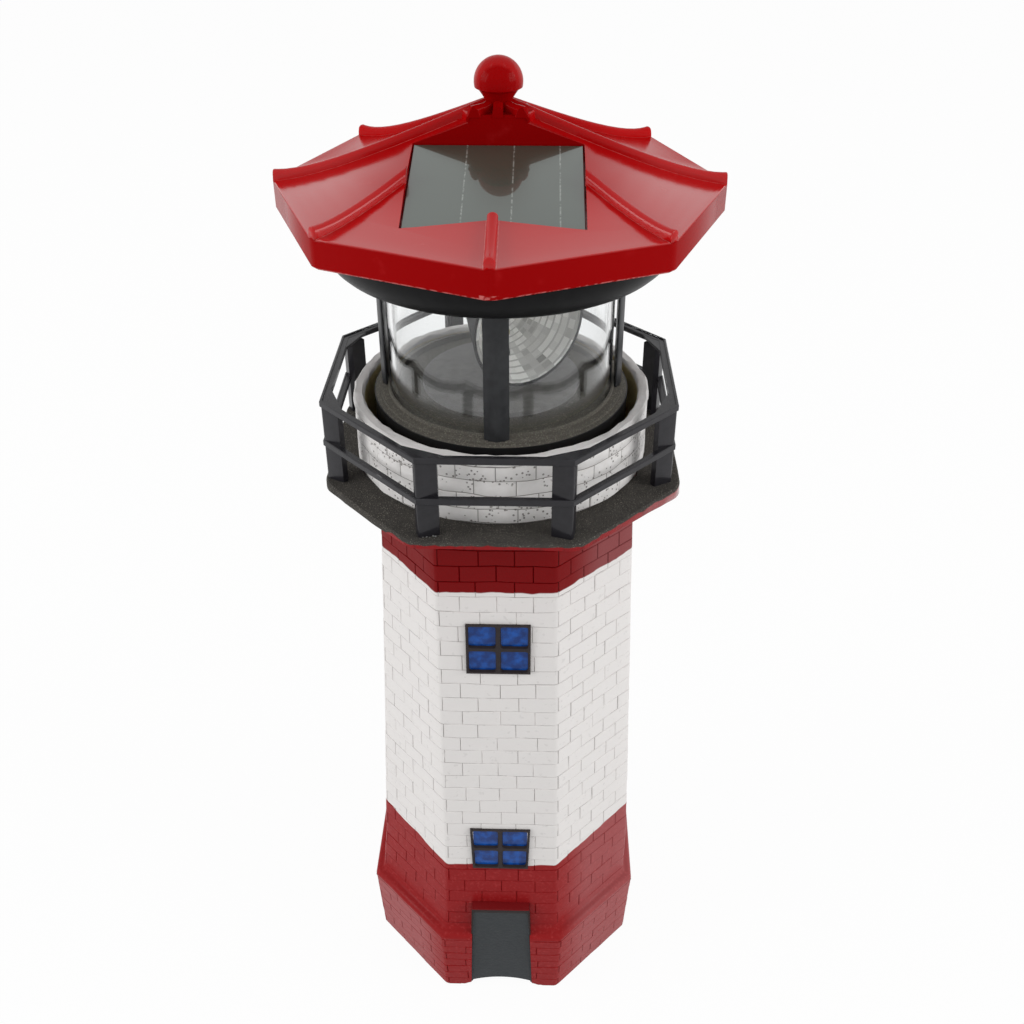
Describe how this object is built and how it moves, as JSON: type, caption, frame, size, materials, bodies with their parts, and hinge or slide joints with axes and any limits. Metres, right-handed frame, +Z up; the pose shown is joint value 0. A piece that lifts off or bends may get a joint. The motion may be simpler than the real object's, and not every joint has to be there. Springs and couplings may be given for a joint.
{
  "type": "garden lighthouse ornament",
  "caption": "Free-standing garden lighthouse ornament: hollow cast tower with door, windows and railed gallery, and a lift-out solar lamp with a turning reflector.",
  "frame": {"origin": "centre of the base on the ground, on the axis of the tower", "axes": "+Z up, -Y towards the door and windows, +X to the right of someone who looks at the door"},
  "size_m": [0.132, 0.132, 0.3488],
  "materials": {
    "painted_casting": "painted cast stone-filled resin, low sheen",
    "dark_rail": "hand-painted dark resin, satin",
    "black_plastic": "moulded, fine satin",
    "dark_plastic": "moulded, satin",
    "grey_plastic": "moulded, semi-gloss",
    "white_nylon": "natural nylon",
    "clear_plastic": "clear, polished",
    "plated_reflector": "vacuum-plated",
    "led_resin": "clear epoxy over phosphor",
    "zinc_steel": "zinc-plated",
    "motor_can": "drawn steel can",
    "cell_sleeve": "printed sleeve, plain green",
    "board_green": "solder mask",
    "red_insulation": "satin",
    "black_insulation": "satin",
    "red_gloss": "painted, high gloss",
    "solar_cell": "clear-coated dark cell"
  },
  "bodies": {
    "tower": {"tower_casting": "painted_casting", "gallery_top_rail": "dark_rail", "gallery_mid_rail": "dark_rail", "gallery_posts": "dark_rail"},
    "lamp": {"lamp_base": "black_plastic", "base_cover": "black_plastic", "base_screws": "zinc_steel", "battery": "cell_sleeve", "battery_spring": "zinc_steel", "battery_contact": "zinc_steel", "circuit_board": "board_green", "switch_body": "zinc_steel", "motor": "motor_can", "led_post": "white_nylon", "led": "led_resin", "led_leads": "zinc_steel", "motor_leads": "red_insulation", "battery_leads": "red_insulation", "solar_leads": "black_insulation", "lens": "clear_plastic", "lantern_cage": "black_plastic", "roof_screws": "zinc_steel", "roof_shell": "red_gloss", "finial": "red_gloss", "solar_panel": "solar_cell"},
    "beacon": {"turntable": "grey_plastic", "drive_gear": "white_nylon", "reflector_housing": "dark_plastic", "reflector": "plated_reflector"},
    "pinion": {"motor_shaft": "zinc_steel", "motor_pinion": "white_nylon"},
    "switch": {"switch_knob": "black_plastic"},
    "battery_door": {"battery_door": "black_plastic", "battery_door_screw": "zinc_steel"}
  },
  "joints": [
    {"name": "lamp_lift", "type": "slide", "parent": "tower", "child": "lamp", "axis": [0, 0, 1], "range_m": [0, 0.05]},
    {"name": "beacon_spin", "type": "hinge", "parent": "lamp", "child": "beacon", "pos_m": [0, 0, 0.2477], "axis": [0, 0, 1], "continuous": true},
    {"name": "pinion_spin", "type": "hinge", "parent": "lamp", "child": "pinion", "pos_m": [0, -0.0144, 0.2417], "axis": [0, 0, 1], "continuous": true},
    {"name": "switch_slide", "type": "slide", "parent": "lamp", "child": "switch", "axis": [1, 0, 0], "range_m": [0, 0.003]},
    {"name": "battery_door_draw", "type": "slide", "parent": "lamp", "child": "battery_door", "axis": [0, 0, -1], "range_m": [0, 0.006]}
  ],
  "couplings": [
    {"joint": "pinion_spin", "follows": "beacon_spin", "ratio": -3}
  ]
}
